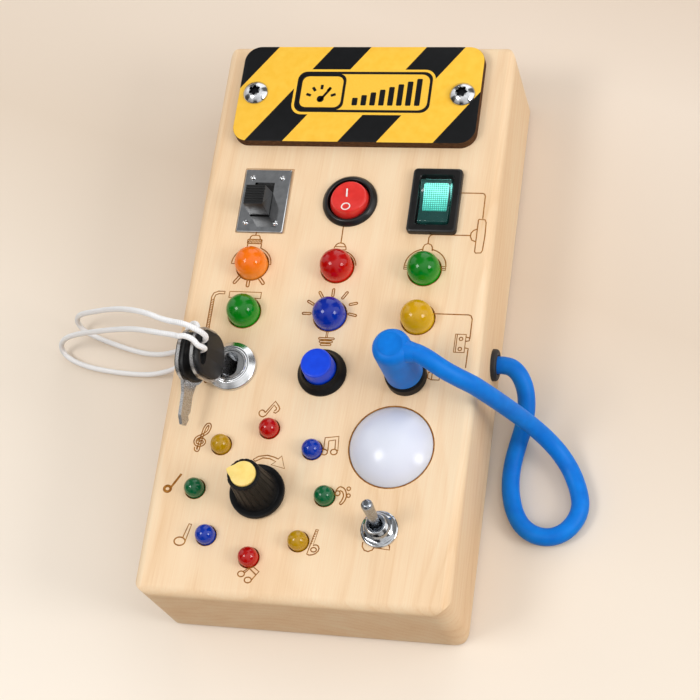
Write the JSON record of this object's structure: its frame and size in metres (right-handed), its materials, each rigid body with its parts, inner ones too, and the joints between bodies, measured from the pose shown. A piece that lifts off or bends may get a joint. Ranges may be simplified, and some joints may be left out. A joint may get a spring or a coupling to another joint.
{
  "type": "activity board",
  "caption": "Wooden toddler activity board with switches, a key lock, a push button, a plug on a cable, a knob and coloured indicator lamps.",
  "frame": {"origin": "centre of the flat back of the wooden block", "axes": "+X to the right across the board, +Y up towards the name plate, +Z out of the face"},
  "size_m": [0.1709, 0.176, 0.058],
  "materials": {
    "pine": "satin",
    "plywood": "matte",
    "zinc_screw": "satin",
    "black_abs": "satin",
    "contact_steel": "satin",
    "cell_jacket": "gloss",
    "plate_paint": "satin",
    "chrome_plate": "polished",
    "red_abs": "gloss",
    "teal_clear": "gloss",
    "grid_light": "gloss",
    "lens_orange": "gloss",
    "lens_red": "gloss",
    "lens_green": "gloss",
    "lens_blue": "gloss",
    "lens_yellow": "gloss",
    "circuit_board": "satin",
    "nickel": "satin",
    "key_steel": "satin",
    "key_black": "satin",
    "braid_white": "matte",
    "blue_button": "satin",
    "blue_pvc": "satin",
    "brass_tip": "polished",
    "black_rubber": "matte",
    "opal": "gloss",
    "white_board": "satin",
    "yellow_abs": "gloss"
  },
  "bodies": {
    "board": {"wooden_body": "pine", "back_cover": "plywood", "cover_screws": "zinc_screw", "battery_box": "black_abs", "battery_door": "black_abs", "battery_contacts": "contact_steel", "aa_cells": "cell_jacket", "name_plate": "plate_paint", "name_plate_screws": "zinc_screw", "slide_switch_plate": "chrome_plate", "slide_switch_rivets": "chrome_plate", "slide_switch_housing": "black_abs", "round_switch_housing": "black_abs", "square_switch_housing": "black_abs", "lamp_orange": "lens_orange", "lamp_red": "lens_red", "lamp_green_right": "lens_green", "lamp_green_left": "lens_green", "lamp_blue": "lens_blue", "lamp_yellow": "lens_yellow", "lamp_board": "circuit_board", "lock_barrel": "nickel", "lock_nut": "zinc_screw", "key_cord_upper": "braid_white", "key_cord_lower": "braid_white", "button_housing": "black_abs", "button_nut": "black_abs", "button_spring": "contact_steel", "socket_body": "black_abs", "socket_nut": "nickel", "plug_cable": "blue_pvc", "cable_grommet": "black_rubber", "dome_lamp": "opal", "dome_lamp_board": "white_board", "toggle_housing": "nickel", "toggle_nut": "nickel", "rotary_housing": "zinc_screw", "rotary_nut": "nickel", "ring_lamps_red": "lens_red", "ring_lamps_blue": "lens_blue", "ring_lamps_green": "lens_green", "ring_lamps_yellow": "lens_yellow", "dial_board": "circuit_board"},
    "slide_knob": {"slide_switch_knob": "black_abs"},
    "round_rocker": {"round_switch_rocker": "red_abs"},
    "square_rocker": {"square_switch_rocker": "teal_clear", "square_switch_insert": "grid_light"},
    "lock_core": {"lock_core": "nickel"},
    "keys": {"key_blade": "key_steel", "key_grip": "key_black", "spare_key_blade": "key_steel", "spare_key_grip": "key_black", "key_cord_bight": "braid_white"},
    "button": {"button_cap": "blue_button"},
    "plug": {"plug_body": "blue_pvc", "plug_tip": "brass_tip"},
    "toggle": {"toggle_lever": "nickel"},
    "knob": {"rotary_shaft": "nickel", "knob_body": "black_abs", "knob_cap": "yellow_abs"}
  },
  "joints": [
    {"name": "slide_switch", "type": "slide", "parent": "board", "child": "slide_knob", "axis": [0, 1, 0], "range_m": [0, 0.003]},
    {"name": "round_rocker_tilt", "type": "hinge", "parent": "board", "child": "round_rocker", "pos_m": [0.0008, 0.0346, 0.0332], "axis": [1, 0, 0], "range_deg": [0, 16]},
    {"name": "square_rocker_tilt", "type": "hinge", "parent": "board", "child": "square_rocker", "pos_m": [0.0266, 0.0349, 0.0332], "axis": [1, 0, 0], "range_deg": [-16, 0]},
    {"name": "lock_turn", "type": "hinge", "parent": "board", "child": "lock_core", "pos_m": [-0.027, -0.0195, 0.03], "axis": [0, 0, 1], "range_deg": [-90, 0], "deforming": ["key_cord_upper", "key_cord_lower"]},
    {"name": "key_slide", "type": "slide", "parent": "lock_core", "child": "keys", "axis": [0, 0, 1], "range_m": [0, 0.011], "deforming": ["key_cord_bight"]},
    {"name": "button_press", "type": "slide", "parent": "board", "child": "button", "axis": [0, 0, 1], "range_m": [-0.0025, 0], "stiffness_N_per_m": 600, "springref_m": 0.001, "deforming": ["button_spring"]},
    {"name": "plug_pull", "type": "slide", "parent": "board", "child": "plug", "axis": [0, 0, 1], "range_m": [0, 0.0125], "deforming": ["plug_cable"]},
    {"name": "toggle_tilt", "type": "hinge", "parent": "board", "child": "toggle", "pos_m": [0.0232, -0.0654, 0.0362], "axis": [1, 0, 0], "range_deg": [0, 18]},
    {"name": "knob_turn", "type": "hinge", "parent": "board", "child": "knob", "pos_m": [-0.0129, -0.057, 0.035], "axis": [0, 0, 1], "range_deg": [-135, 180]}
  ]
}
